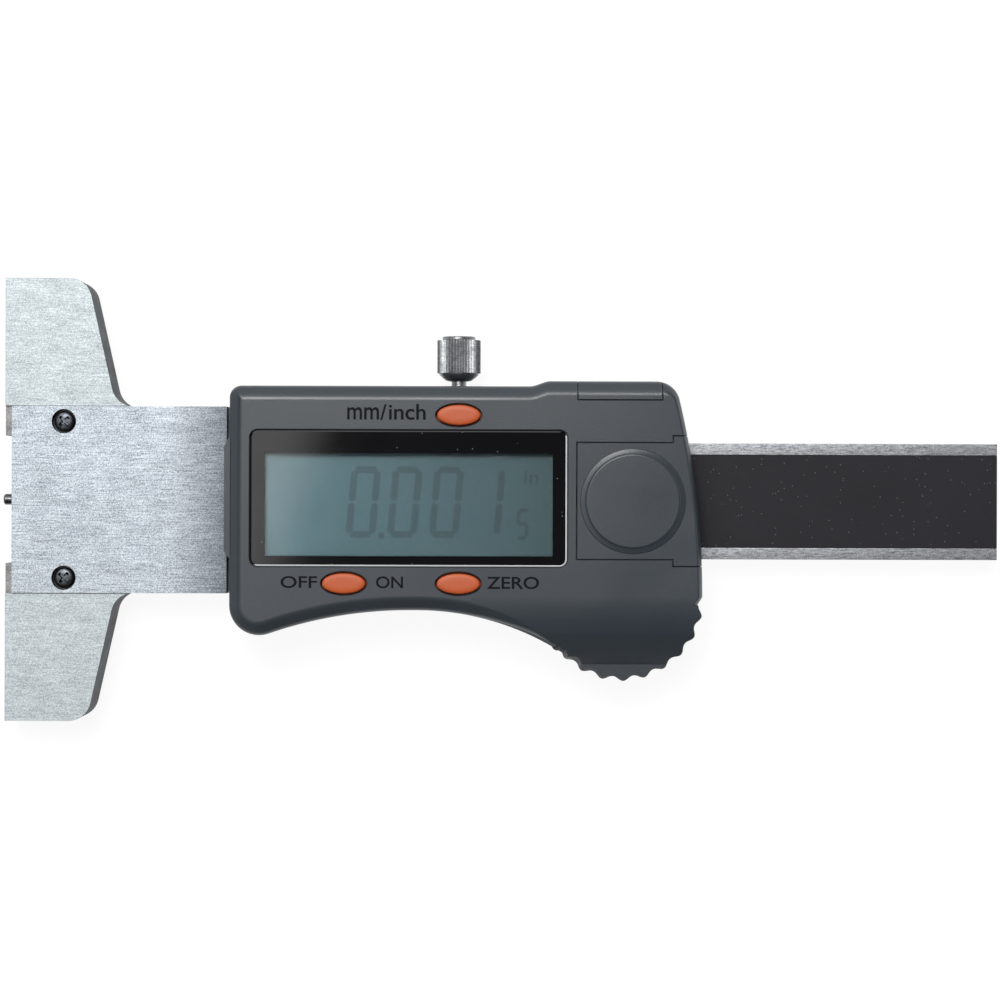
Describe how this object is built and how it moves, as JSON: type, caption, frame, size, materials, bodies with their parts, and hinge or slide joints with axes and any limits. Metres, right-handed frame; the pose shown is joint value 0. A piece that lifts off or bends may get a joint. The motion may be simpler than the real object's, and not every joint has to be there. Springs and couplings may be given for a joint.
{
  "type": "depth gauge",
  "caption": "Small digital depth gauge: T-shaped steel base, thin sliding probe on a flat beam, display housing with buttons, thumb grip and lock screw.",
  "frame": {"origin": "where the probe's axis meets the plane of the two measuring faces", "axes": "+X along the beam, away from the work; +Y across it, towards the lock screw; +Z out of the display"},
  "size_m": [0.1356, 0.06, 0.0148],
  "materials": {
    "ground_steel": "fine ground stainless steel",
    "brushed_steel": "brushed along the probe",
    "beam_steel": "lapped stainless steel",
    "dark_screws": "black oxide",
    "bright_screws": "plated steel",
    "knurled_steel": "knurled, nickel plated",
    "bronze": "phosphor bronze",
    "gold_contact": "gold plated",
    "grey_abs": "satin moulded grey",
    "orange_rubber": "orange moulded",
    "scale_film": "satin black film",
    "circuit_laminate": "green solder mask",
    "black_epoxy": "glob top",
    "white_plastic": "moulded white",
    "elastomer": "layered elastomer",
    "window": "clear window with a printed black border",
    "display_glass": "liquid crystal glass",
    "cell_case": "nickel plated can",
    "dome_steel": "spring steel"
  },
  "bodies": {
    "slider": {"base": "ground_steel", "slider_frame": "brushed_steel", "base_screws": "dark_screws", "back_plate": "ground_steel", "back_screws": "bright_screws", "gib": "bronze", "gib_screws": "bright_screws", "housing": "grey_abs", "display_window": "window", "lcd": "display_glass", "lcd_holder": "white_plastic", "zebra_strip": "elastomer", "circuit_board": "circuit_laminate", "chip": "black_epoxy", "board_screws": "bright_screws", "button_domes": "dome_steel", "battery": "cell_case", "battery_contact_positive": "gold_contact", "battery_contact_negative": "gold_contact", "port_contacts": "gold_contact"},
    "probe_beam": {"beam": "beam_steel", "scale_board": "circuit_laminate", "scale_sticker": "scale_film", "probe_pin": "beam_steel", "stop_screw": "bright_screws"},
    "mode_button": {"button_mode": "orange_rubber"},
    "power_button": {"button_power": "orange_rubber"},
    "zero_button": {"button_zero": "orange_rubber"},
    "cell_cover": {"battery_cover": "grey_abs"},
    "data_cover": {"port_cover": "grey_abs"},
    "lock_slug": {"lock_pad": "bronze"},
    "lock_knob": {"lock_screw": "knurled_steel"}
  },
  "joints": [
    {"name": "beam_slide", "type": "slide", "parent": "slider", "child": "probe_beam", "axis": [-1, 0, 0], "range_m": [-0.002, 0.0252]},
    {"name": "mode_press", "type": "slide", "parent": "slider", "child": "mode_button", "axis": [0, 0, -1], "range_m": [0, 0.0004], "stiffness_N_per_m": 300},
    {"name": "power_press", "type": "slide", "parent": "slider", "child": "power_button", "axis": [0, 0, -1], "range_m": [0, 0.0004], "stiffness_N_per_m": 300},
    {"name": "zero_press", "type": "slide", "parent": "slider", "child": "zero_button", "axis": [0, 0, -1], "range_m": [0, 0.0004], "stiffness_N_per_m": 300},
    {"name": "battery_cover_slide", "type": "slide", "parent": "slider", "child": "cell_cover", "axis": [1, 0, 0], "range_m": [0, 0.016]},
    {"name": "port_cover_pull", "type": "slide", "parent": "slider", "child": "data_cover", "axis": [0, 1, 0], "range_m": [0, 0.005]},
    {"name": "lock_advance", "type": "slide", "parent": "slider", "child": "lock_slug", "axis": [0, -1, 0], "range_m": [0, 0.0002]},
    {"name": "lock_turn", "type": "hinge", "parent": "lock_slug", "child": "lock_knob", "pos_m": [0.0614, 0.0186, 0], "axis": [0, -1, 0], "range_deg": [0, 180]}
  ],
  "couplings": [
    {"joint": "lock_turn", "follows": "lock_advance", "rad_per_m": 15708}
  ]
}
